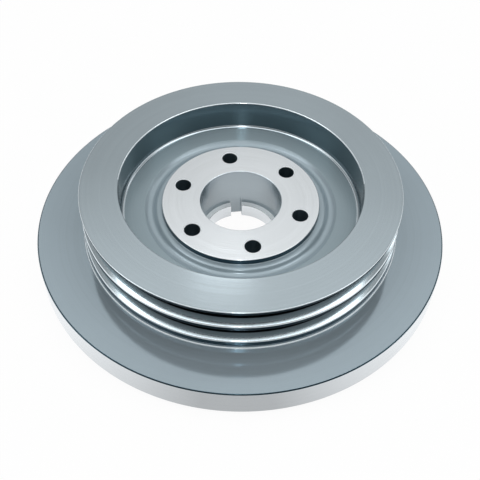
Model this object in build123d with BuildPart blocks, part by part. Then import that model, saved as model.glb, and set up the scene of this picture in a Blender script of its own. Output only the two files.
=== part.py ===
"""Harmonic balancer: a two-groove crankshaft pulley that carries a heavy inertia ring on a rubber joint.

The pulley is one turned casting. Its rim holds two V-belt grooves, a web closes the bowl behind the
rim, and the hub in the middle bolts to the crankshaft with six screws round a stepped, keyed bore.
A drum on the back of the web carries the rubber ring, and the inertia ring is squeezed over that.

Every edge is broken by a small flat, as a lathe tool leaves it, and the corners of the bowl and of
the hollow behind the web are filled by a larger one.

Millimetres. +Z points forward, away from the engine. The origin is on the shaft's axis, in the flat
rear face of the hub, which is the face that meets the crankshaft.
"""

import os
from math import tan, radians

from build123d import *

# Driving dimensions: the inertia ring
RING_DIAMETER = 230.0
RING_THICKNESS = 16.7
RING_SETBACK = 2.8  # the hub's rear face stands this far behind the ring
RING_EASE = 0.8  # flat on both outer edges
LAND_DIAMETER = 177.4  # the ring is faced down outside this, which leaves a land under the rim
LAND_HEIGHT = 0.7

# Driving dimensions: the pulley's rim
PULLEY_DIAMETER = 176.2
PULLEY_REACH = 29.4  # from the ring's front face to the rim's front face
RIM_CLEARANCE = 0.35  # between the land and the back of the rim
RIM_EASE = 0.6

# Driving dimensions: grooves for a 10 mm wide V-belt
GROOVE_COUNT = 2
GROOVE_PITCH = 12.6
GROOVE_WIDTH = 10.4  # at the rim, eased lips included
GROOVE_DEPTH = 11.6
GROOVE_ANGLE = 36.0  # between the flanks
FIRST_GROOVE = 6.9  # from the rim's front face to the middle of the first groove
LIP_EASE = 0.35

# Driving dimensions: the bowl, with a collar round the hub and a shallow gutter outside the collar
BOWL_DIAMETER = 134.0
BOWL_DEPTH = 18.1
BOWL_ROOT = 1.9  # flat between the floor and the wall
BOWL_EASE = 0.4
COLLAR_DIAMETER = 94.6
COLLAR_RISE = 0.4  # above the bowl's floor
GUTTER_INNER = 98.4  # diameters of the gutter's bottom
GUTTER_OUTER = 103.6
GUTTER_EDGE = 107.8  # diameter where the gutter meets the bowl's floor
GUTTER_DEPTH = 1.7  # below the bowl's floor

# Driving dimensions: the hub and its bore
HUB_DIAMETER = 88.2
HUB_LENGTH = 34.6
HUB_FRONT_EASE = 0.4
HUB_REAR_EASE = 0.8
BORE_DIAMETER = 45.5
PILOT_DIAMETER = 40.2
PILOT_LENGTH = 9.1
PILOT_REAR_EASE = 0.5
PILOT_FRONT_EASE = 0.7

# Driving dimensions: the screw holes and the keyway
BOLT_COUNT = 6
BOLT_CIRCLE = 69.4
BOLT_HOLE = 9.0  # clearance for an M8 screw
BOLT_HOLE_EASE = 0.35
FIRST_BOLT = 41.4  # degrees from +X
KEY_WIDTH = 6.5
KEY_DEPTH = 23.3  # from the axis to the floor of the keyway
KEY_LENGTH = 12.8
KEY_ANGLE = 97.3  # degrees from +X

# Driving dimensions: the web, the hollow behind it and the rubber joint on its drum
WEB_THICKNESS = 9.5
HOLLOW_DIAMETER = 129.0
HOLLOW_ROOT = 3.0  # flat in both corners of the hollow
DRUM_DIAMETER = 147.0
RUBBER_THICKNESS = 4.5
RUBBER_INSET = 2.1  # from each face of the inertia ring to the rubber

# Heights from the hub's rear face
ring_back = RING_SETBACK
ring_face = ring_back + RING_THICKNESS
land_face = ring_face + LAND_HEIGHT
rim_back = land_face + RIM_CLEARANCE
rim_face = ring_face + PULLEY_REACH
bowl_floor = rim_face - BOWL_DEPTH
collar_face = bowl_floor + COLLAR_RISE
gutter_floor = bowl_floor - GUTTER_DEPTH
web_back = bowl_floor - WEB_THICKNESS
rubber_low = ring_back + RUBBER_INSET
rubber_high = ring_face - RUBBER_INSET

# Radii that several outlines share
rim_radius = PULLEY_DIAMETER / 2
hub_radius = HUB_DIAMETER / 2
bore_radius = BORE_DIAMETER / 2
drum_radius = DRUM_DIAMETER / 2
ring_bore = drum_radius + RUBBER_THICKNESS


def eased(corners):
    """Give an outline's points, with each (radius, height, ease) corner cut back by its ease."""
    points = []
    for index, (radius, height, ease) in enumerate(corners):
        corner = Vector(radius, height)
        if ease == 0:
            points.append(corner)
            continue
        before = Vector(*corners[index - 1][:2])
        after = Vector(*corners[(index + 1) % len(corners)][:2])
        points.append(corner + (before - corner).normalized() * ease)
        points.append(corner + (after - corner).normalized() * ease)
    return points


# The pulley and hub, turned from one casting
hub_front = [
    (bore_radius, HUB_LENGTH, HUB_FRONT_EASE),
    (hub_radius, HUB_LENGTH, HUB_FRONT_EASE),
    (hub_radius, collar_face, 0),
]
bowl = [
    (COLLAR_DIAMETER / 2, collar_face, 0),
    (GUTTER_INNER / 2, gutter_floor, 0),
    (GUTTER_OUTER / 2, gutter_floor, 0),
    (GUTTER_EDGE / 2, bowl_floor, 0),
    (BOWL_DIAMETER / 2, bowl_floor, BOWL_ROOT),
    (BOWL_DIAMETER / 2, rim_face, BOWL_EASE),
]
rim_and_drum = [
    (rim_radius, rim_face, RIM_EASE),
    (rim_radius, rim_back, 0),
    (drum_radius, rim_back, 0),
    (drum_radius, ring_back, 0),
    (HOLLOW_DIAMETER / 2, ring_back, 0),
]
hub_back = [
    (HOLLOW_DIAMETER / 2, web_back, HOLLOW_ROOT),
    (hub_radius, web_back, HOLLOW_ROOT),
    (hub_radius, 0, HUB_REAR_EASE),
    (PILOT_DIAMETER / 2, 0, PILOT_REAR_EASE),
    (PILOT_DIAMETER / 2, PILOT_LENGTH, PILOT_FRONT_EASE),
    (bore_radius, PILOT_LENGTH, 0),
]

with BuildPart() as pulley_hub:
    with BuildSketch(Plane.XZ):
        with BuildLine():
            Polyline(*eased(hub_front + bowl + rim_and_drum + hub_back), close=True)
        make_face()
    revolve(axis=Axis.Z)

    # The V grooves, each with eased lips and a flat root
    half_width = GROOVE_WIDTH / 2
    half_mouth = half_width - LIP_EASE
    half_root = half_mouth - (GROOVE_DEPTH - LIP_EASE) * tan(radians(GROOVE_ANGLE / 2))
    for groove in range(GROOVE_COUNT):
        middle = rim_face - FIRST_GROOVE - groove * GROOVE_PITCH
        with BuildSketch(Plane.XZ):
            with BuildLine():
                Polyline(
                    (rim_radius, middle + half_width),
                    (rim_radius - LIP_EASE, middle + half_mouth),
                    (rim_radius - GROOVE_DEPTH, middle + half_root),
                    (rim_radius - GROOVE_DEPTH, middle - half_root),
                    (rim_radius - LIP_EASE, middle - half_mouth),
                    (rim_radius, middle - half_width),
                    close=True,
                )
            make_face()
        revolve(axis=Axis.Z, mode=Mode.SUBTRACT)

    # Six screw holes, eased at both ends
    with BuildSketch(Plane.XY):
        with PolarLocations(BOLT_CIRCLE / 2, BOLT_COUNT, start_angle=FIRST_BOLT):
            Circle(BOLT_HOLE / 2)
    extrude(amount=HUB_LENGTH, mode=Mode.SUBTRACT)
    hole_edges = pulley_hub.edges().filter_by(GeomType.CIRCLE)
    hole_edges = hole_edges.filter_by(lambda edge: abs(edge.radius - BOLT_HOLE / 2) < 0.01)
    chamfer(hole_edges, length=BOLT_HOLE_EASE)

    # The keyway, milled in from the rear through the pilot
    with BuildSketch(Plane.XY.rotated((0, 0, KEY_ANGLE))):
        with Locations((KEY_DEPTH / 2, 0)):
            Rectangle(KEY_DEPTH, KEY_WIDTH)
    extrude(amount=KEY_LENGTH, mode=Mode.SUBTRACT)

# The rubber ring, bonded between the drum and the inertia ring
with BuildPart() as rubber_ring:
    with BuildSketch(Plane.XY.offset(rubber_low)):
        Circle(ring_bore)
        Circle(drum_radius, mode=Mode.SUBTRACT)
    extrude(amount=rubber_high - rubber_low)

# The inertia ring, with the land that its faced front leaves under the rim
ring_section = [
    (RING_DIAMETER / 2, ring_back, RING_EASE),
    (RING_DIAMETER / 2, ring_face, RING_EASE),
    (LAND_DIAMETER / 2, ring_face, 0),
    (LAND_DIAMETER / 2, land_face, 0),
    (ring_bore, land_face, 0),
    (ring_bore, ring_back, 0),
]
with BuildPart() as inertia_ring:
    with BuildSketch(Plane.XZ):
        with BuildLine():
            Polyline(*eased(ring_section), close=True)
        make_face()
    revolve(axis=Axis.Z)

pulley_hub.part.label = "pulley_hub"
rubber_ring.part.label = "rubber_ring"
inertia_ring.part.label = "inertia_ring"

os.makedirs("parts", exist_ok=True)
for piece in (pulley_hub, rubber_ring, inertia_ring):
    export_step(piece.part, f"parts/{piece.part.label}.step")
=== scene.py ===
# %% [markdown]
# # A harmonic balancer, turned in mesh code
#
# A harmonic balancer sits on the nose of a crankshaft. It is three pieces: a cast and turned
# pulley with two belt grooves, a rubber ring, and a heavy inertia ring that the rubber lets twist
# by a fraction of a degree. All three were made on a lathe, so this lesson makes them as a lathe
# does: it draws half a section and spins it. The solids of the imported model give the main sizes,
# and the lesson adds what those solids leave out, which is the true rounding of every edge and the
# finish of the metal.
#
# Everything is in metres, +Z points forward out of the bowl, and the shaft's axis is the Z axis.

from math import cos, pi, radians, sin, tan

import bmesh
import bpy
from mathutils import Matrix, Vector


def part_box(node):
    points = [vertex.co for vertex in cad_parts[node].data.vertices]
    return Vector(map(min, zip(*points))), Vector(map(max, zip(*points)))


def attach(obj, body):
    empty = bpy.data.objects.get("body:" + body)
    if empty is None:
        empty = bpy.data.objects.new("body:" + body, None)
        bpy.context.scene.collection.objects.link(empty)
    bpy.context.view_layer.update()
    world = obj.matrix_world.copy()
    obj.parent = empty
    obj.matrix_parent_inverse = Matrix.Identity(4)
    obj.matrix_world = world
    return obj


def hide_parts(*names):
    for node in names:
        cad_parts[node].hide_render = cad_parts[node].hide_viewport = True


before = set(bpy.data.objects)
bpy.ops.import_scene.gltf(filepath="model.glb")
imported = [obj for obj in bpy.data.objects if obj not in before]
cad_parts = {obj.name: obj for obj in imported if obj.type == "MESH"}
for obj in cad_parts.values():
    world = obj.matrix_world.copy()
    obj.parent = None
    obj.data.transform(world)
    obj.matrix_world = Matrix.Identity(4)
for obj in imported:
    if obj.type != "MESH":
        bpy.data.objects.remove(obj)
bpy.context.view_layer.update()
print("the packed model's nodes:", sorted(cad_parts))

# %% [markdown]
# ## Sizes
#
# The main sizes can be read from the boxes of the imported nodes, so that the pieces made here can't
# drift away from the solids they stand for. What a box can't tell, such as the width of a groove
# or the depth of the bowl, is written out as a named value.

# %% Read the main sizes
ring_low, ring_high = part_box("inertia_ring")
hub_low, hub_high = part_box("pulley_hub")
rubber_low, rubber_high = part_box("rubber_ring")

RING_RADIUS = ring_high.x
RIM_RADIUS = hub_high.x
JOINT_RADIUS = rubber_high.x
RING_BACK = ring_low.z
LAND_FACE = ring_high.z
RIM_FACE = hub_high.z
print(f"inertia ring {RING_RADIUS * 2000:.1f} mm across, rim {RIM_RADIUS * 2000:.1f} mm across")
print(f"the pulley is {(hub_high.z - hub_low.z) * 1000:.1f} mm long")

# %% Name the sizes of the inertia ring's front and the bowl
LAND_HEIGHT = 0.0007
LAND_RADIUS = 0.0887
RIM_CLEARANCE = 0.00035
RING_FACE = LAND_FACE - LAND_HEIGHT
RIM_BACK = LAND_FACE + RIM_CLEARANCE

BOWL_RADIUS = 0.067
BOWL_DEPTH = 0.0181
COLLAR_RADIUS = 0.0473
COLLAR_RISE = 0.0004
GUTTER_INNER = 0.0492
GUTTER_OUTER = 0.0518
GUTTER_EDGE = 0.0539
GUTTER_DEPTH = 0.0017
WEB_THICKNESS = 0.0095
BOWL_FLOOR = RIM_FACE - BOWL_DEPTH
COLLAR_FACE = BOWL_FLOOR + COLLAR_RISE
GUTTER_FLOOR = BOWL_FLOOR - GUTTER_DEPTH
WEB_BACK = BOWL_FLOOR - WEB_THICKNESS
print(f"the bowl's floor stands {BOWL_FLOOR * 1000:.1f} mm above the hub's rear face")

# %% Name the sizes of the hub and of what lies behind the web
HUB_RADIUS = 0.0441
HUB_FACE = 0.0346
BORE_RADIUS = 0.02275
PILOT_RADIUS = 0.0201
PILOT_LENGTH = 0.0091
DRUM_RADIUS = 0.0735
HOLLOW_RADIUS = 0.0645
print(f"the hub is {HUB_FACE * 1000:.1f} mm long")

# %% [markdown]
# ## Turning a piece
#
# A lathe cuts a shape that is the same all the way round, and leaves no edge quite sharp. The
# piece could be a cylinder with loops cut into it, but each groove and edge would then be placed
# by eye. Here the section is drawn once as a face with one vertex at each corner. A vertex bevel
# rounds each corner by its own radius, and spin carries the outline round the axis. With use_merge
# the last step joins the first, so no seam is left.
#
# So a section is written as a list of corners, and each corner is three numbers: its distance from
# the axis, its height, and how far its rounding reaches along both sides.

# %% Turn an outline of corners into a mesh
TURN_STEPS = 288
ROUND_SEGMENTS = 4


def turned_mesh(outline):
    """Spin an outline of (radius, height, rounding) corners round the Z axis."""
    shape = bmesh.new()
    corners = [shape.verts.new((radius, 0, height)) for radius, height, rounding in outline]
    shape.faces.new(corners)
    for corner, (radius, height, rounding) in zip(corners, outline):
        if rounding > 0:
            bmesh.ops.bevel(
                shape, geom=[corner], offset=rounding, segments=ROUND_SEGMENTS,
                profile=0.5, affect="VERTICES", material=-1,
            )
    bmesh.ops.delete(shape, geom=shape.faces[:], context="FACES_ONLY")
    bmesh.ops.spin(
        shape, geom=shape.verts[:] + shape.edges[:], cent=(0, 0, 0), axis=(0, 0, 1),
        angle=2 * pi, steps=TURN_STEPS, use_merge=True,
    )
    bmesh.ops.recalc_face_normals(shape, faces=shape.faces[:])
    return shape


# %% Make an object of a mesh, and apply its modifiers
def piece_of(name, shape):
    """Put a bmesh into the scene as an object that sits at the origin."""
    mesh = bpy.data.meshes.new(name)
    shape.to_mesh(mesh)
    shape.free()
    piece = bpy.data.objects.new(name, mesh)
    bpy.context.scene.collection.objects.link(piece)
    return piece


def apply_modifiers(piece):
    """Write what a piece's modifiers make into its mesh, and take them off."""
    evaluated = piece.evaluated_get(bpy.context.evaluated_depsgraph_get())
    made = bpy.data.meshes.new_from_object(evaluated)
    piece.modifiers.clear()
    piece.data = made


# %% [markdown]
# ## Shading a turned piece
#
# On the real metal a rounded edge runs into the flat beside it without a line. So the piece is
# shaded smooth but for its sharp edges, and a Weighted Normal modifier then gives the broad faces
# the say over the thin rounds beside them. Without it a flat face would look slightly pillowed. It
# is applied at once, because nothing live should be left on a piece that carries a turned finish.

# %% Shade a piece
SHARP_ANGLE = radians(31)
FLAT_FACE_WEIGHT = 100


def shade(piece):
    """Shade a piece smooth but for its sharp edges, with its flat faces kept flat."""
    piece.data.shade_smooth()
    piece.data.set_sharp_from_angle(angle=SHARP_ANGLE)
    weighting = piece.modifiers.new("flat faces lead", "WEIGHTED_NORMAL")
    weighting.keep_sharp = True
    weighting.weight = FLAT_FACE_WEIGHT
    apply_modifiers(piece)
    triangles = sum(len(face.vertices) - 2 for face in piece.data.polygons)
    print(f"{piece.name}: {triangles} triangles")


# %% [markdown]
# ## The inertia ring
#
# The big disc behind the pulley is a plain iron ring. Its front is faced down outside the pulley,
# which leaves a low land under the rim with a small cove at its foot. Its two outer edges are
# straight chamfers. A bevel of the finished mesh could cut them, but here each chamfer is simply
# two corners of the section, with a fine rounding of their own, because a lathe tool leaves soft
# shoulders and they catch the light as two thin lines.

# %% Turn the inertia ring
CHAMFER = 0.0007
FINE = 0.0002

ring_outline = [
    (RING_RADIUS - CHAMFER, RING_BACK, FINE),
    (RING_RADIUS, RING_BACK + CHAMFER, FINE),
    (RING_RADIUS, RING_FACE - CHAMFER, FINE),
    (RING_RADIUS - CHAMFER, RING_FACE, FINE),
    (LAND_RADIUS, RING_FACE, 0.0005),
    (LAND_RADIUS, LAND_FACE, FINE),
    (JOINT_RADIUS, LAND_FACE, 0.0004),
    (JOINT_RADIUS, RING_BACK, 0.0006),
]
inertia_disc = piece_of("inertia_disc", turned_mesh(ring_outline))
shade(inertia_disc)

# %% [markdown]
# ## The rubber ring
#
# The rubber is moulded or pressed into the gap between the pulley's drum and the inertia ring. Its
# sides are held by the metal, but its two free ends are drawn in, because rubber that is squeezed
# across a gap pulls back along it. A middle corner at each end, set back and well rounded, gives
# that.

# %% Turn the rubber ring
END_HOLLOW = 0.0009
END_ROUND = 0.0012

rubber_middle = (DRUM_RADIUS + JOINT_RADIUS) / 2
rubber_outline = [
    (DRUM_RADIUS, rubber_low.z, 0),
    (DRUM_RADIUS, rubber_high.z, 0),
    (rubber_middle, rubber_high.z - END_HOLLOW, END_ROUND),
    (JOINT_RADIUS, rubber_high.z, 0),
    (JOINT_RADIUS, rubber_low.z, 0),
    (rubber_middle, rubber_low.z + END_HOLLOW, END_ROUND),
]
rubber_joint = piece_of("rubber_joint", turned_mesh(rubber_outline))
shade(rubber_joint)

# %% [markdown]
# ## The belt grooves
#
# The two V grooves are alike, so a short function writes the corners of one from its front lip
# down to its flat root and up again. The rear flank, which faces forward, gets two corners more.
# They have no rounding and lie on its straight line, so they don't change the shape. They only end
# a row of faces there, so that the painted shade of the groove's depth, the plain flank and the
# painted highlight near the rim meet in clean lines.

# %% Write one V groove's corners
GROOVE_COUNT = 2
GROOVE_PITCH = 0.0126
FIRST_GROOVE = 0.0069
GROOVE_DEPTH = 0.0116
HALF_MOUTH = 0.0052
LIP = 0.00035
REAR_LIP = LIP * 1.5
ROOT_ROUND = 0.0009
ROOT_RADIUS = RIM_RADIUS - GROOVE_DEPTH
FLANK = tan(radians(18))
# Inside FLANK_START a groove gets near-black painted shade, and outside BRIGHT_START its forward
# flank gets a painted highlight
FLANK_START = 0.0836
BRIGHT_START = 0.0859


def groove_corners(middle):
    """Give a V groove's corners from its front lip to its rear lip, for the rim's outline."""
    half_root = HALF_MOUTH - LIP - (GROOVE_DEPTH - LIP) * FLANK
    half_flank = half_root + (FLANK_START - ROOT_RADIUS) * FLANK
    half_bright = half_root + (BRIGHT_START - ROOT_RADIUS) * FLANK
    return [
        (RIM_RADIUS, middle + HALF_MOUTH - LIP / 2, LIP),
        (ROOT_RADIUS, middle + half_root, ROOT_ROUND),
        (ROOT_RADIUS, middle - half_root, ROOT_ROUND),
        (FLANK_START, middle - half_flank, 0),
        (BRIGHT_START, middle - half_bright, 0),
        (RIM_RADIUS, middle - HALF_MOUTH + LIP / 2, REAR_LIP),
    ]


groove_middles = [RIM_FACE - FIRST_GROOVE - groove * GROOVE_PITCH for groove in range(GROOVE_COUNT)]
grooves = [corner for middle in groove_middles for corner in groove_corners(middle)]
print(GROOVE_COUNT, "grooves have", len(grooves), "corners")

# %% [markdown]
# ## The pulley's section
#
# The pulley is the piece that takes the care. Going round its section from the bore's mouth: the
# bolted face of the hub, a low collar, a shallow gutter, the bowl's floor and wall, the rim, two V
# grooves, the back of the rim, the drum that holds the rubber, the hollow behind the web, and the
# pilot that centres the hub on the shaft. One outline holds all of it, so every surface meets the
# next without a gap.

# %% Write the pulley's outline and turn it
hub_and_bowl = [
    (BORE_RADIUS, HUB_FACE, 0.0004),
    (HUB_RADIUS, HUB_FACE, 0.0004),
    (HUB_RADIUS, COLLAR_FACE, 0.0005),
    (COLLAR_RADIUS, COLLAR_FACE, 0.0008),
    (GUTTER_INNER, GUTTER_FLOOR, 0.0010),
    (GUTTER_OUTER, GUTTER_FLOOR, 0.0012),
    (GUTTER_EDGE, BOWL_FLOOR, 0.0006),
    (BOWL_RADIUS, BOWL_FLOOR, 0.0019),
    (BOWL_RADIUS, RIM_FACE, 0.0005),
    (RIM_RADIUS, RIM_FACE, 0.0005),
]
back_and_bore = [
    (RIM_RADIUS, RIM_BACK, 0.0004),
    (DRUM_RADIUS, RIM_BACK, 0.0010),
    (DRUM_RADIUS, RING_BACK, 0.0006),
    (HOLLOW_RADIUS, RING_BACK, 0.0006),
    (HOLLOW_RADIUS, WEB_BACK, 0.0040),
    (HUB_RADIUS, WEB_BACK, 0.0040),
    (HUB_RADIUS, 0, 0.0008),
    (PILOT_RADIUS, 0, 0.0005),
    (PILOT_RADIUS, PILOT_LENGTH, 0.0007),
    (BORE_RADIUS, PILOT_LENGTH, 0.0003),
]
pulley_outline = hub_and_bowl + grooves + back_and_bore
turned_pulley = piece_of("turned_pulley", turned_mesh(pulley_outline))
print("the pulley's section has", len(pulley_outline), "corners")

# %% [markdown]
# ## Drilling the hub and cutting the keyway
#
# The screw holes and the keyway are the only features that a lathe can't cut. On the real part
# they are drilled and milled after turning, so here they are cut from the turned mesh in the same
# order, with a Boolean modifier. One cutter holds all the drills, and another a short cone for each
# end of each hole, which cuts its countersunk edge. A box cuts the keyway in from the rear.

# %% Make the drills and the countersinks
BOLT_COUNT = 6
BOLT_CIRCLE_RADIUS = 0.0347
BOLT_HOLE_RADIUS = 0.0045
BOLT_EDGE = 0.00035
FIRST_BOLT = radians(41.4)
HOLE_STEPS = 48
CUT_OVER = 0.001


def add_cone(shape, place, low, high, low_radius, high_radius):
    """Add a closed cone or cylinder that stands along Z from low to high."""
    middle = Vector((place.x, place.y, (low + high) / 2))
    bmesh.ops.create_cone(
        shape, cap_ends=True, segments=HOLE_STEPS, radius1=low_radius, radius2=high_radius,
        depth=high - low, matrix=Matrix.Translation(middle),
    )


hole_angles = [FIRST_BOLT + hole * 2 * pi / BOLT_COUNT for hole in range(BOLT_COUNT)]
hole_places = [
    Vector((BOLT_CIRCLE_RADIUS * cos(angle), BOLT_CIRCLE_RADIUS * sin(angle)))
    for angle in hole_angles
]
drills = bmesh.new()
countersinks = bmesh.new()
wide = BOLT_HOLE_RADIUS + BOLT_EDGE + CUT_OVER
narrow = BOLT_HOLE_RADIUS - CUT_OVER
top = HUB_FACE - BOLT_EDGE
for place in hole_places:
    add_cone(drills, place, -CUT_OVER, HUB_FACE + CUT_OVER, BOLT_HOLE_RADIUS, BOLT_HOLE_RADIUS)
    add_cone(countersinks, place, top - CUT_OVER, HUB_FACE + CUT_OVER, narrow, wide)
    add_cone(countersinks, place, -CUT_OVER, BOLT_EDGE + CUT_OVER, wide, narrow)
print("made", BOLT_COUNT, "drills with", BOLT_COUNT * 2, "countersinks")

# %% Make the keyway's cutter
KEY_WIDTH = 0.0065
KEY_DEPTH = 0.0233
KEY_LENGTH = 0.0128
KEY_ANGLE = radians(97.3)

key = bmesh.new()
key_size = Matrix.Diagonal((KEY_DEPTH, KEY_WIDTH, KEY_LENGTH + CUT_OVER, 1))
key_place = Matrix.Translation((KEY_DEPTH / 2, 0, (KEY_LENGTH - CUT_OVER) / 2))
key_turn = Matrix.Rotation(KEY_ANGLE, 4, "Z")
bmesh.ops.create_cube(key, size=1, matrix=key_turn @ key_place @ key_size)
print(f"the keyway is {KEY_WIDTH * 1000:.1f} mm wide")

# %% Cut the hub with all three
for name, shape in (("drills", drills), ("countersinks", countersinks), ("key", key)):
    tool = piece_of(name, shape)
    cut = turned_pulley.modifiers.new(name, "BOOLEAN")
    cut.operation = "DIFFERENCE"
    cut.solver = "EXACT"
    cut.object = tool
    apply_modifiers(turned_pulley)
    bpy.data.objects.remove(tool)
    print("after the", name, "the pulley has", len(turned_pulley.data.polygons), "faces")

# %% [markdown]
# ## Closing the seams of the cuts
#
# The real part is one solid skin. An exact cut can leave two corners in one and the same place,
# with a hairline seam between their faces. Nothing of it shows in a render, but the mesh isn't
# closed. Welding all corners closer than a ten-thousandth of a millimetre closes nearly every seam,
# and the last slivers are filled as holes of three or four sides. The count of open edges tells
# whether it worked.

# %% Weld the seams and fill the slivers
WELD = 1e-7
SLIVER_SIDES = 4

skin = bmesh.new()
skin.from_mesh(turned_pulley.data)
bmesh.ops.remove_doubles(skin, verts=skin.verts[:], dist=WELD)
slivers = [edge for edge in skin.edges if edge.is_boundary]
bmesh.ops.holes_fill(skin, edges=slivers, sides=SLIVER_SIDES)
print("open edges after the weld:", sum(not edge.is_manifold for edge in skin.edges))
skin.to_mesh(turned_pulley.data)
skin.free()
shade(turned_pulley)

# %% [markdown]
# ## Nodes that every finish shares
#
# A node material is built by adding nodes, setting their sockets and linking them. Written out one
# line at a time that hides what the finish does, so a few helpers take it up. The first gives a
# node's sockets their values: another node's output is linked, and a plain value is set on the
# socket itself.

# %% Feed, add and compute with nodes
def feed(tree, node, inputs):
    """Give a node's sockets, by order or by name, links from other sockets or plain values."""
    pairs = inputs.items() if isinstance(inputs, dict) else enumerate(inputs)
    for key, source in pairs:
        if isinstance(source, bpy.types.NodeSocket):
            tree.links.new(source, node.inputs[key])
        else:
            node.inputs[key].default_value = source


def add_node(tree, kind, inputs=()):
    """Add a shader node, feed its sockets and give the node."""
    node = tree.nodes.new("ShaderNode" + kind)
    feed(tree, node, inputs)
    return node


def number_node(tree, operation, *sources):
    """Add a Math node and give its value."""
    node = add_node(tree, "Math")
    node.operation = operation
    feed(tree, node, sources)
    return node.outputs["Value"]


def vector_node(tree, operation, *sources):
    """Add a Vector Math node and give its result, which is a number for a length or a dot."""
    node = add_node(tree, "VectorMath")
    node.operation = operation
    feed(tree, node, sources)
    return node.outputs["Value" if operation in ("LENGTH", "DOT_PRODUCT") else "Vector"]


def mapped(tree, source, low, high, low_level, high_level, curve="LINEAR"):
    """Map a value between two edges to a level, and hold it beyond them."""
    node = add_node(tree, "MapRange", (source, low, high, low_level, high_level))
    node.interpolation_type = curve
    return node.outputs["Result"]


# %% Start a finish, and read places, noise, tones and bumps
NOISE_LOW = 0.3
NOISE_HIGH = 0.7


def new_finish(name):
    """Make a material with a Principled shader, and give it with its node tree and shader."""
    finish = bpy.data.materials.new(name)
    finish.use_nodes = True
    return finish, finish.node_tree, finish.node_tree.nodes["Principled BSDF"]


def noise(tree, place, scale, detail):
    """Add noise at a place and give its factor."""
    node = add_node(tree, "TexNoise", {"Vector": place, "Scale": scale, "Detail": detail})
    return node.outputs["Fac"]


def spread(tree, factor, low, high):
    """Map noise, which lies mostly between its low and its high mark, to a range."""
    return mapped(tree, factor, NOISE_LOW, NOISE_HIGH, low, high)


def tone(tree, factor, colour, darker, lighter):
    """Give a colour that moves between a darker and a lighter shade of itself."""
    node = add_node(tree, "Mix")
    node.data_type = "RGBA"
    dark = (*[part * darker for part in colour], 1)
    light = (*[part * lighter for part in colour], 1)
    feed(tree, node, {"Factor": factor, "A": dark, "B": light})
    return node.outputs["Result"]


def bump(tree, height, depth):
    """Give a normal that is moved as if noise stood out by a depth."""
    node = add_node(tree, "Bump", {"Strength": 1, "Distance": depth, "Height": height})
    return node.outputs["Normal"]


# %% [markdown]
# ## The turned finish
#
# A lathe leaves fine grooves that run round the axis. They are far too fine to model, but they are
# why turned metal shines in streaks: a groove spreads the light across itself and hardly along
# itself. The Principled shader has this as its Anisotropic value, which needs to know which way
# the grooves run. Round the axis that is the cross product of the axis and the point's own place,
# so it is right on flat faces, walls and flanks alike, and needs no UV map.
#
# Coarser marks show as faint rings. Noise that is read at (distance from the axis, height) is the
# same all the way round, so it gives rings on faces and on walls. It moves the roughness, the
# colour and a very low bump, and a wide cloudy noise keeps the colour from being quite even.

# %% Make a turned metal finish
SHEEN = 0.35
STREAK_TURN = 0.25

# Each noise is a scale and a detail
COARSE_RINGS = (420, 3)
FINE_RINGS = (2600, 2)
TINT_RINGS = (800, 4)
CLOUDS = (22, 3)

# How much the tints and the clouds move the colour, and the shades it moves between
TINT_SHARE = (0.1, 0.5)
CLOUD_SHARE = (0.05, 0.45)
RING_TONES = (0.94, 1.06)

# Depths of the fine rings
SHALLOW = 0.000001
DEEP = 0.000002
POLISHED = 0.0000005


def ring_place(tree):
    """Give a place on the object, and (distance from the axis, height), the same all round."""
    place = add_node(tree, "TexCoord").outputs["Object"]
    distance = vector_node(tree, "LENGTH", vector_node(tree, "MULTIPLY", place, (1, 1, 0)))
    height = add_node(tree, "SeparateXYZ", (place,)).outputs["Z"]
    return place, add_node(tree, "CombineXYZ", (distance, height)).outputs["Vector"]


def turned_finish(name, colour, metallic, roughness, streak, ring_depth=SHALLOW, unevenness=0.03):
    """Make metal that was turned: rings round the axis, and light spread across them."""
    finish, tree, metal = new_finish(name)
    place, rings = ring_place(tree)
    coarse = noise(tree, rings, *COARSE_RINGS)
    clouds = spread(tree, noise(tree, place, *CLOUDS), *CLOUD_SHARE)
    tints = spread(tree, noise(tree, rings, *TINT_RINGS), *TINT_SHARE)
    feed(tree, metal, {
        "Metallic": metallic,
        "Specular IOR Level": SHEEN,
        "Anisotropic": streak,
        "Anisotropic Rotation": STREAK_TURN,
        "Tangent": vector_node(tree, "CROSS_PRODUCT", (0, 0, 1), place),
        "Roughness": spread(tree, coarse, roughness - unevenness, roughness + unevenness),
        "Base Color": tone(tree, number_node(tree, "ADD", clouds, tints), colour, *RING_TONES),
        "Normal": bump(tree, noise(tree, rings, *FINE_RINGS), ring_depth),
    })
    return finish


# %% [markdown]
# ## The blue-grey iron
#
# The pulley and the ring are iron with a satin blue-grey skin. One finish could cover them, but a
# lathe tool leaves each surface a little different: the rim is clean and mirrors its surroundings,
# and the bowl's floor is duller with long streaks. The bowl's wall is smooth, and it gets a darker
# copy of the iron, which is painted shade; its rounded root gets a paler copy, a painted highlight.
# On metal the colour tints what is mirrored. A lower Metallic value mixes in a plain surface like
# paint, which looks much the same from every side. The flanks of the grooves are smoother than the
# rim, and a strip of each near the rim gets a paler copy, which is a painted highlight. These
# differences are chosen until each surface looks as the real one does.

# %% Make the iron finishes: name, colour, metallic, roughness, streak
turned_iron = turned_finish("turned_iron", (0.405, 0.473, 0.508), 0.95, 0.16, 0.4)
bowl_iron = turned_finish("bowl_iron", (0.285, 0.36, 0.395), 0.22, 0.25, 0.7)
gutter_iron = turned_finish("gutter_iron", (0.35, 0.43, 0.475), 0.32, 0.22, 0.4)
# A darker copy of the iron: painted shade on the bowl's wall
wall_painted_shade = turned_finish("wall_painted_shade", (0.165, 0.225, 0.250), 0.95, 0.14, 0.4)
# A paler copy of the iron: a painted highlight on the bowl's rounded root
root_painted_highlight = turned_finish("root_painted_highlight", (0.50, 0.57, 0.61), 0.95, 0.16, 0.4)
flank_iron = turned_finish("flank_iron", (0.44, 0.58, 0.65), 0.65, 0.2, 0.6)
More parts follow.
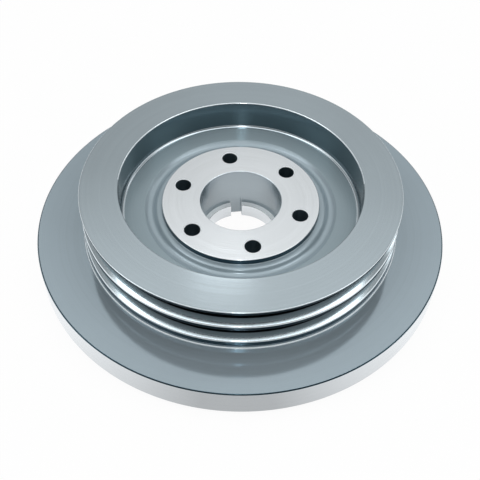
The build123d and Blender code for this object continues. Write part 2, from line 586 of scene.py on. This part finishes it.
# A paler copy of the flank's iron: a painted highlight on a strip near the rim
flank_painted_highlight = turned_finish("flank_painted_highlight", (0.72, 0.84, 0.90), 0.95, 0.17, 0.7)
turned_steel = turned_finish(
    "turned_steel", (0.335, 0.410, 0.455), 0.42, 0.10, 0.2, unevenness=0.02
)
iron_finishes = (
    turned_iron, bowl_iron, gutter_iron, wall_painted_shade, root_painted_highlight, flank_iron, flank_painted_highlight,
    turned_steel,
)
print("made", [finish.name for finish in iron_finishes])

# %% [markdown]
# ## Bare metal, bright edges and dark corners
#
# The hub's faces and its bore were left bare, so they are paler and mirror more. A fine edge or a
# narrow ledge catches light from nearly everywhere and shows as a bright line, and a deep corner,
# such as a groove's root, looks nearly black. A simple studio gives only a part of that, so these
# places get finishes of their own: pale ones that are painted highlights, and dark ones that are
# painted shade. A pale colour with a Metallic of 0 makes the ledge's painted highlight, because it
# looks the same from all sides. The dark ones stay metal, so that no pale sheen lies over the black.

# %% Make the bare, bright and dark finishes: name, colour, metallic, roughness, streak, depth
bare_steel = turned_finish("bare_steel", (0.745, 0.785, 0.81), 1, 0.24, 0.4, DEEP)
bore_steel = turned_finish("bore_steel", (0.35, 0.40, 0.43), 1, 0.22, 0.4, DEEP)
side_steel = turned_finish("side_steel", (0.82, 0.86, 0.89), 1, 0.24, 0.4, DEEP)
# A painted highlight for the bright edges
edge_painted_highlight = turned_finish("edge_painted_highlight", (0.82, 0.90, 0.95), 0.85, 0.15, 0.2, POLISHED)
# A pale painted highlight for the ledges and the countersunk edges
pale_painted_highlight = turned_finish("pale_painted_highlight", (0.89, 0.95, 0.98), 0.0, 0.3, 0.2, POLISHED)
# Dark painted shade on the rearmost land, the hub's side in the bowl and the ring's chamfers
dark_painted_shade = turned_finish("dark_painted_shade", (0.045, 0.085, 0.11), 0.9, 0.25, 0.3)
# Near-black painted shade in the depths of the grooves
groove_painted_shade = turned_finish("groove_painted_shade", (0.006, 0.011, 0.015), 1, 0.3, 0.3)
# Dark painted shade on the rim's lands
land_painted_shade = turned_finish("land_painted_shade", (0.025, 0.045, 0.060), 0.97, 0.22, 0.3)
bare_finishes = (
    bare_steel, bore_steel, side_steel, edge_painted_highlight, pale_painted_highlight, dark_painted_shade, groove_painted_shade, land_painted_shade,
)
print("made", [finish.name for finish in bare_finishes])

# %% [markdown]
# ## The drilled holes and the rubber
#
# A drill leaves a rough wall, and a deep hole of it is nearly black. The rubber is matt and black
# with a faint grain. Neither has a direction, so both are plain noise at the object's own place: a
# fine one for the grain, and a wide one for the roughness.

# %% Make the drilled and the rubber finish
GRAIN_TONES = (0.8, 1.2)
GRAIN_DETAIL = 4
GRAIN_CLOUDS = (60, 2)
GRAIN_UNEVENNESS = 0.06


def matt_finish(name, colour, roughness, grain_scale, grain_depth, metallic):
    """Make a dull finish with a fine even grain."""
    finish, tree, surface = new_finish(name)
    place = add_node(tree, "TexCoord").outputs["Object"]
    grain = noise(tree, place, grain_scale, GRAIN_DETAIL)
    clouds = noise(tree, place, *GRAIN_CLOUDS)
    low, high = roughness - GRAIN_UNEVENNESS, roughness + GRAIN_UNEVENNESS
    feed(tree, surface, {
        "Metallic": metallic,
        "Roughness": spread(tree, clouds, low, high),
        "Base Color": tone(tree, grain, colour, *GRAIN_TONES),
        "Normal": bump(tree, grain, grain_depth),
    })
    return finish


drilled_wall = matt_finish("drilled_wall", (0.18, 0.25, 0.29), 0.5, 900, 0.00003, 1)
damper_rubber = matt_finish("damper_rubber", (0.03, 0.03, 0.033), 0.7, 1400, 0.00004, 0)
print("made", drilled_wall.name, "and", damper_rubber.name)

# %% [markdown]
# ## Finding a face by its place
#
# The pulley is one mesh with many finishes. They could be painted on by hand in Edit Mode, but a
# turned piece offers something better: a face's distance from the axis and its height tell at once
# which surface of the section it belongs to. So the finish is chosen face by face from those two
# numbers, and every border falls on an edge of the section, where the real finish changes too.
#
# The edges that get a painted highlight are a short list of corners, each with how far it reaches.

# %% Tell where a face lies and whether it is a bright edge
BRIGHT_CORNERS = [
    (BORE_RADIUS, HUB_FACE, 0.0005),
    (RIM_RADIUS, RIM_FACE, 0.00035),
    (RIM_RADIUS, RIM_BACK, 0.0005),
]
BRIGHT_CORNERS += [(RIM_RADIUS, middle - HALF_MOUTH + LIP / 2, 0.0006) for middle in groove_middles]
BOWL_MOUTH = (BOWL_RADIUS, RIM_FACE, 0.00045)
UPRIGHT_LEAN = 0.2


def in_section(face):
    """Give a face's place in the turned section, as distance from the axis and height."""
    return Vector((face.center.xy.length, face.center.z))


def lies_near(face, corner):
    """Tell whether a face lies within reach of a (radius, height, reach) corner."""
    radius, height, reach = corner
    return (in_section(face) - Vector((radius, height))).length < reach


def is_bright_edge(face):
    """Tell whether a face lies at a bright corner or on the far half of the bowl's mouth."""
    # Only the far half of the bowl's mouth gets the painted highlight
    if face.center.y > 0 and lies_near(face, BOWL_MOUTH):
        return True
    return any(lies_near(face, corner) for corner in BRIGHT_CORNERS)


def is_upright(face):
    """Tell whether a face stands along the axis, as a wall or a bore does."""
    return abs(face.normal.z) < UPRIGHT_LEAN


print("bright edges:", len(BRIGHT_CORNERS), "corners and half of the bowl's mouth")

# %% [markdown]
# ## The finishes of the rim
#
# Outside the roots of the grooves lies the rim. Its lands are the narrow bands beside the grooves.
# They get dark painted shade, a little paler on the rearmost. A groove's root and the flank that
# faces back, where hardly any light gets in, get near-black painted shade. The flank that faces
# forward is smooth iron in its outer part, and a strip near the rim gets a painted highlight.

# %% Choose a finish on the rim and in its grooves
# How far from the rim's own sizes the finishes begin and end
LAND_SKIN = 0.0004
REAR_LAND = 0.0045
GROOVE_MARGIN = 0.001
FACING_FORWARD = 0.5


def rim_finish(face, radius, height):
    """Choose the finish of a face outside the roots of the grooves."""
    # The lands get painted shade, a little paler on the rearmost
    if radius > RIM_RADIUS - LAND_SKIN and height < RIM_FACE - LAND_SKIN:
        return dark_painted_shade if height < RIM_BACK + REAR_LAND else land_painted_shade
    if not RIM_BACK + GROOVE_MARGIN < height < RIM_FACE - GROOVE_MARGIN:
        return turned_iron
    # The groove's depth gets near-black painted shade
    if radius < FLANK_START:
        return groove_painted_shade
    # A strip of the forward flank near the rim gets a painted highlight
    in_strip = radius > BRIGHT_START and face.normal.z > FACING_FORWARD
    return flank_painted_highlight if in_strip else flank_iron


# %% [markdown]
# ## The finishes of the bowl and of the web's back
#
# The bowl's wall looks dark and its rounded root pale, because the wall mirrors the other side of
# the bowl and the root mirrors the light overhead. Each also has an iron of its own, a darker copy
# that is painted shade and a paler one that is a painted highlight, so that this shows from every
# side. The hub's short side in the bowl gets nearly black painted shade. The collar and the gutter
# share one iron and the floor has another. The rim's front face and all that lies behind the web
# are plain turned iron.

# %% Choose a finish in the bowl and behind the web
# How far from the bowl's own sizes the finishes begin and end, with the roundings taken in
WALL_INSIDE = 0.0001
WALL_OUTSIDE = 0.0003
ROOT_REACH = 0.0029
ROOT_RISE = 0.003
FLOOR_SKIN = 0.00001
RIM_REACH = 0.0028
WEB_SKIN = 0.001
HUB_WALL = 0.0002
GUTTER_END = 0.0535


def bowl_finish(face, radius, height):
    """Choose the finish of a face between the hub and the roots of the grooves."""
    on_wall = BOWL_RADIUS - WALL_INSIDE < radius < BOWL_RADIUS + WALL_OUTSIDE
    # The bowl's wall gets painted shade
    if on_wall and is_upright(face) and height > BOWL_FLOOR:
        return wall_painted_shade
    in_root = BOWL_RADIUS - ROOT_REACH < radius < BOWL_RADIUS + WALL_INSIDE
    # The bowl's rounded root gets a painted highlight
    if in_root and BOWL_FLOOR + FLOOR_SKIN < height < BOWL_FLOOR + ROOT_RISE:
        return root_painted_highlight
    if radius > BOWL_RADIUS - RIM_REACH or height < WEB_BACK + WEB_SKIN:
        return turned_iron
    # The hub's short side in the bowl gets dark painted shade
    if is_upright(face) and radius < HUB_RADIUS + HUB_WALL:
        return dark_painted_shade
    return bowl_iron if radius > GUTTER_END else gutter_iron


# %% [markdown]
# ## The finishes of the hub
#
# All that lies inside the hub's radius was left bare: its two end faces, its stepped bore and the
# keyway. The narrow pilot is the brightest wall, and the step above it gets a pale painted
# highlight. A drilled wall is told apart from a bore by how near it lies to the centre line of a
# screw hole, and the countersunk edge of a hole gets the same painted highlight as the step.

# %% Choose a finish on the hub
# A face whose normal rises past NEARLY_LEVEL is a flat end, and the skins take the roundings in
NEARLY_LEVEL = 0.9
STEP_SKIN = 0.0002
KEY_SKIN = 0.0005


def hub_finish(face, radius, height):
    """Choose the finish of a face inside the hub's radius."""
    upright = is_upright(face)
    from_hole = min((face.center.xy - place).length for place in hole_places)
    # A countersunk edge gets the pale painted highlight
    if from_hole < BOLT_HOLE_RADIUS + BOLT_EDGE and abs(face.normal.z) < NEARLY_LEVEL:
        return drilled_wall if upright else pale_painted_highlight
    on_step = PILOT_RADIUS + STEP_SKIN < radius < BORE_RADIUS
    # The step above the pilot gets the pale painted highlight
    if on_step and PILOT_LENGTH / 2 < height < PILOT_LENGTH + STEP_SKIN:
        return pale_painted_highlight
    if upright and radius < PILOT_RADIUS + STEP_SKIN:
        return side_steel
    return bore_steel if upright and radius < KEY_DEPTH + KEY_SKIN else bare_steel


# %% Put the finishes on the pulley
ROOT_SKIN = 0.0005
HUB_SKIN = 0.0001


def pulley_finish(face):
    """Choose the finish of one of the pulley's faces."""
    radius, height = in_section(face)
    # A bright edge gets a painted highlight
    if is_bright_edge(face):
        return edge_painted_highlight
    if radius > ROOT_RADIUS - ROOT_SKIN:
        return rim_finish(face, radius, height)
    if radius > HUB_RADIUS - HUB_SKIN:
        return bowl_finish(face, radius, height)
    return hub_finish(face, radius, height)


def put_on(piece, finishes, choose):
    """Give each face of a piece the finish that a function chooses for it."""
    for finish in finishes:
        piece.data.materials.append(finish)
    for face in piece.data.polygons:
        face.material_index = finishes.index(choose(face))
    for index, finish in enumerate(finishes):
        covered = sum(face.material_index == index for face in piece.data.polygons)
        print(f"{piece.name}: {finish.name} covers {covered} faces")


pulley_finishes = (
    turned_iron, bowl_iron, gutter_iron, wall_painted_shade, root_painted_highlight, bare_steel, bore_steel,
    side_steel, edge_painted_highlight, dark_painted_shade, groove_painted_shade, drilled_wall, land_painted_shade, flank_iron,
    flank_painted_highlight, pale_painted_highlight,
)
put_on(turned_pulley, pulley_finishes, pulley_finish)

# %% [markdown]
# ## The finishes of the inertia ring
#
# The ring is one satin iron with three accents: a bright bare finish on its outer side, dark
# painted shade on its chamfers, and a thin pale painted highlight at the edge of the low land under
# the rim. The rubber has one finish all over.

# %% Put the finishes on the inertia ring and the rubber
SIDE_SKIN = 0.00025
CHAMFER_SKIN = 0.0001
LAND_FOOT = 0.001
LAND_RISE = 0.0002


def disc_finish(face):
    """Choose the finish of one of the inertia ring's faces."""
    radius, height = in_section(face)
    if radius > RING_RADIUS - SIDE_SKIN:
        return side_steel
    # The chamfers get dark painted shade
    if radius > RING_RADIUS - CHAMFER - CHAMFER_SKIN:
        return dark_painted_shade
    # The edge of the low land gets the pale painted highlight
    on_land = LAND_RADIUS - LAND_FOOT < radius and height > RING_FACE + LAND_RISE
    return pale_painted_highlight if on_land else turned_steel


put_on(inertia_disc, (turned_steel, side_steel, pale_painted_highlight, dark_painted_shade), disc_finish)
rubber_joint.data.materials.append(damper_rubber)

# %% [markdown]
# ## Where each piece belongs
#
# The balancer has no joints, so everything rides on its one body. Each turned piece stands for one
# imported solid, which is hidden.

# %% Tie the pieces to the imported model
for piece, node, slot in (
    (turned_pulley, "pulley_hub", "turned_iron"),
    (rubber_joint, "rubber_ring", "damper_rubber"),
    (inertia_disc, "inertia_ring", "turned_steel"),
):
    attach(piece, "root")
    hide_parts(node)
    print(piece.name, "stands for", node)

# %% [markdown]
# ## The floor
#
# Polished metal shows what stands round it, so the floor is a part of the metal's look. It is a
# sheet of white paper that takes the object's shadow. Light Path tells what kind of ray has met
# it. A camera ray sees mostly an even glow, so the background is white. A glossy ray, which is one
# that metal mirrors, sees only a glow, and that one differs from place to place: it is full at the
# left and right and weaker in the middle, as if two white cards lay there. Real cards would do the
# same, but they would stand in view. Under the bore the glow is full again, and weaker towards the
# back.

# %% Lay the floor
FLOOR_SIZE = 6.0

floor_shape = bmesh.new()
bmesh.ops.create_grid(floor_shape, x_segments=1, y_segments=1, size=FLOOR_SIZE / 2)
floor = piece_of("floor", floor_shape)
print("the floor is", FLOOR_SIZE, "m across")

# %% Make the floor's paper and its glow
PAPER_WHITE = (0.9, 0.9, 0.9, 1)
PAPER_ROUGHNESS = 0.9
CAMERA_GLOW = 0.95
CARD_LOW = 0.52
CARD_EDGES = (0.02, 0.10)
BORE_LOW = 0.74
BORE_EDGES = (0.028, 0.032)
BACK_EDGES = (0.006, 0.018)

paper, tree, sheet = new_finish("paper")
feed(tree, sheet, {"Base Color": PAPER_WHITE, "Roughness": PAPER_ROUGHNESS})
spot = add_node(tree, "TexCoord").outputs["Object"]
split = add_node(tree, "SeparateXYZ", (spot,))
from_side = number_node(tree, "ABSOLUTE", split.outputs["X"])
from_centre = vector_node(tree, "LENGTH", spot)
cards = mapped(tree, from_side, *CARD_EDGES, CARD_LOW, 1)
in_bore = mapped(tree, from_centre, *BORE_EDGES, 1, 0)
under_bore = mapped(tree, split.outputs["Y"], *BACK_EDGES, 1, BORE_LOW)
mirrored = number_node(tree, "MAXIMUM", cards, number_node(tree, "MULTIPLY", in_bore, under_bore))

path = add_node(tree, "LightPath")
seen = path.outputs["Is Camera Ray"]
strength = number_node(tree, "MAXIMUM", seen, mirrored)
glow = add_node(tree, "Emission", {"Strength": strength})
share = number_node(tree, "MULTIPLY_ADD", seen, CAMERA_GLOW, path.outputs["Is Glossy Ray"])
blend = add_node(tree, "MixShader", (share, sheet.outputs["BSDF"], glow.outputs["Emission"]))
feed(tree, tree.nodes["Material Output"], {"Surface": blend.outputs["Shader"]})
floor.data.materials.append(paper)
print("the floor shows glossy rays a glow of", CARD_LOW, "to 1")

# %% [markdown]
# ## The room's light
#
# The rest of what the metal mirrors is the world. An even white world makes turned metal look like
# plaster, and area lamps for every reflection would light the faces as well. So the world's
# strength depends on the direction. In front it is dim above and brighter near the horizon, behind
# it has one middle level, and round soft panels are laid over that. A panel is the dot product of
# the ray's direction and its own, mapped smoothly to a share between 0 and 1. The panels low and
# high on the left and right light the groove flanks, and the large one behind is what the flat
# faces mirror.

# %% Start the room
FRONT_LEVEL = 0.08
LOW_LEVEL = 0.55
REAR_LEVEL = 0.30
HORIZON_EDGES = (0.30, 0.60)
REAR_EDGES = (-0.5, 0.5)

studio = bpy.data.worlds.new("studio")
bpy.context.scene.world = studio
studio.use_nodes = True
tree = studio.node_tree
direction = add_node(tree, "TexCoord").outputs["Generated"]
split = add_node(tree, "SeparateXYZ", (direction,))
in_front = mapped(
    tree, split.outputs["Z"], *HORIZON_EDGES, LOW_LEVEL, FRONT_LEVEL, curve="SMOOTHSTEP"
)
rear_share = mapped(tree, split.outputs["Y"], *REAR_EDGES, 0, 1, curve="SMOOTHSTEP")
mixed = add_node(tree, "Mix", {"Factor": rear_share, "A": in_front, "B": REAR_LEVEL})
room = mixed.outputs["Result"]
print("the bare room's levels are", FRONT_LEVEL, LOW_LEVEL, REAR_LEVEL)

# %% Lay the panels into the room: azimuth, elevation, reach, fade, level
def way_to(azimuth, elevation):
    """Give the direction at an azimuth and an elevation in degrees."""
    turn, rise = radians(azimuth), radians(elevation)
    return Vector((cos(turn) * cos(rise), sin(turn) * cos(rise), sin(rise)))


REAR_PANEL_EDGES = (-0.25, 0.05)
REAR_PANEL_LEVELS = (0.57, 0.70)
rear_level = mapped(
    tree, split.outputs["X"], *REAR_PANEL_EDGES, *REAR_PANEL_LEVELS, curve="SMOOTHSTEP"
)
PANELS = (
    (180, 5, 28, 10, 1.0),
    (0, 5, 28, 10, 1.0),
    (90, 40, 32, 7, rear_level),
    (90, 76, 30, 6, 1.0),
    (-90, 66, 9, 4, 1.2),
    (-168, 50, 16, 6, 1.4),
    (-12, 50, 16, 6, 1.4),
    (-145, 68, 12, 5, 1.6),
    (-35, 68, 12, 5, 1.6),
    (40, 37, 5, 3, 2.0),
    (90, 88, 16, 5, 1.4),
)
for azimuth, elevation, reach, fade, level in PANELS:
    towards = vector_node(tree, "DOT_PRODUCT", direction, way_to(azimuth, elevation))
    outer, inner = cos(radians(reach + fade)), cos(radians(reach - fade))
    share = mapped(tree, towards, outer, inner, 0, 1, curve="SMOOTHSTEP")
    mixed = add_node(tree, "Mix", {"Factor": share, "A": room, "B": level})
    room = mixed.outputs["Result"]
print("laid", len(PANELS), "panels into the room")

# %% Show the camera plain white, and light the world
seen = add_node(tree, "LightPath").outputs["Is Camera Ray"]
shown = add_node(tree, "Mix", {"Factor": seen, "A": room, "B": 1})
backdrop = tree.nodes["Background"]
feed(tree, backdrop, {"Color": (1, 1, 1, 1), "Strength": shown.outputs["Result"]})
print("the world has", len(tree.nodes), "nodes")

# %% [markdown]
# ## The lamps
#
# Four lamps add what soft light can't: a shadow with an edge, and sharp lines on rounded edges.
# The key lamp hangs high behind and throws the rim's shadow forward on to the ring. A strip on each
# side brightens the groove flanks, and a small lamp in front gives the near edges their thin lines.
# Each is an area lamp, which is turned to face the object by to_track_quat.

# %% Hang the lamps: azimuth, elevation, distance, size, power
AIM = Vector((0, 0, 0.03))


def hang_lamp(name, azimuth, elevation, distance, size, power):
    """Hang an area lamp in a direction from the object, turned to face it."""
    light = bpy.data.lights.new(name, "AREA")
    light.shape = "RECTANGLE"
    light.size, light.size_y = size
    light.energy = power
    lamp = bpy.data.objects.new(name, light)
    way = way_to(azimuth, elevation)
    lamp.location = AIM + way * distance
    lamp.rotation_euler = way.to_track_quat("Z", "Y").to_euler()
    bpy.context.scene.collection.objects.link(lamp)


hang_lamp("key_lamp", 93, 55, 1.0, (0.10, 0.04), 0.022)
hang_lamp("left_strip", 172, 63, 0.9, (0.20, 0.36), 0.42)
hang_lamp("right_strip", 8, 63, 0.9, (0.20, 0.36), 0.42)
hang_lamp("front_lamp", -90, 53, 1.0, (0.04, 0.03), 0.8)

# %% [markdown]
# ## The camera
#
# The camera looks down into the bowl from in front, at 49 degrees, from less than half a metre. So
# near, the ellipses of the ring and the rim differ clearly in shape. It leans by one degree.

# %% Place the camera
CAMERA_TARGET = Vector((-0.00004, 0, 0.00018))
CAMERA_DISTANCE = 0.45622
CAMERA_DIP = radians(48.99)
CAMERA_LEAN = 0.0176
LENS = 57.6
NEAREST = 0.01

eye = bpy.data.cameras.new("camera")
eye.lens = LENS
eye.clip_start = NEAREST
camera = bpy.data.objects.new("camera", eye)
forward = Vector((0, cos(CAMERA_DIP), -sin(CAMERA_DIP)))
camera.location = CAMERA_TARGET - forward * CAMERA_DISTANCE
across = Vector((1, 0, 0))
upright = across.cross(forward)
right = across * cos(CAMERA_LEAN) + upright * sin(CAMERA_LEAN)
up = upright * cos(CAMERA_LEAN) - across * sin(CAMERA_LEAN)
camera.rotation_euler = Matrix((right, up, -forward)).transposed().to_euler()
bpy.context.scene.collection.objects.link(camera)
bpy.context.scene.camera = camera
bpy.context.scene.view_settings.view_transform = "Standard"
print("the camera stands at", [round(part, 4) for part in camera.location])
